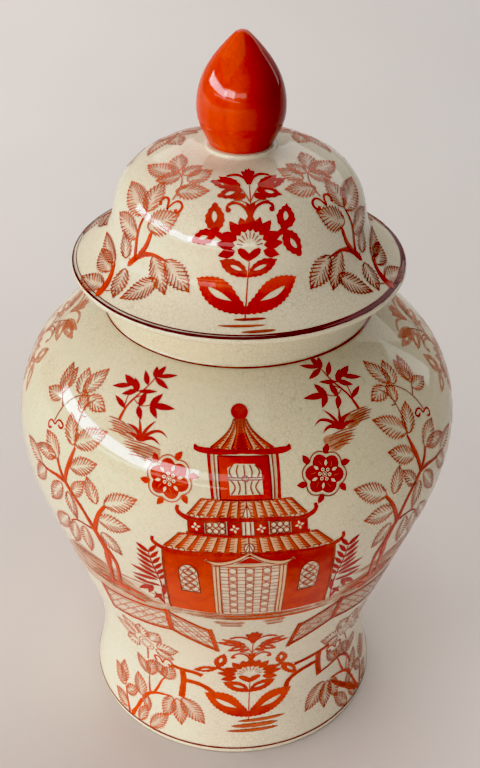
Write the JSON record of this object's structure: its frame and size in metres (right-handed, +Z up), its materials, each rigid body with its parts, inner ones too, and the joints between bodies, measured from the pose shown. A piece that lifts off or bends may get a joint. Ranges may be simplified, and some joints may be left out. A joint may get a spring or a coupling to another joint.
{
  "type": "ginger jar",
  "caption": "Covered baluster jar: stout foot, tall flared belly, straight neck, domed lid with a sloping brim and a pointed bud finial, crackle-glazed and painted.",
  "frame": {"origin": "centre of the foot ring, on the surface the jar stands on", "axes": "+Z up along the jar's axis of revolution; the painted front panel faces -Y"},
  "size_m": [0.2116, 0.2116, 0.358],
  "materials": {
    "cream_crackle_glaze": "clear gloss glaze with fine crackle over a cream body",
    "bare_stoneware": "unglazed, dry and slightly rough",
    "coral_glaze": "glossy iron-red glaze",
    "iron_red_painting": "thin iron-red overglaze painting on the jar and the lid"
  },
  "bodies": {
    "jar": {"jar_body": "cream_crackle_glaze"},
    "lid": {"lid_dome": "cream_crackle_glaze", "lid_locating_ring": "bare_stoneware", "lid_finial": "coral_glaze"}
  },
  "joints": [
    {"name": "lid_lift", "type": "slide", "parent": "jar", "child": "lid", "axis": [0, 0, 1], "range_m": [0, 0.15]}
  ]
}
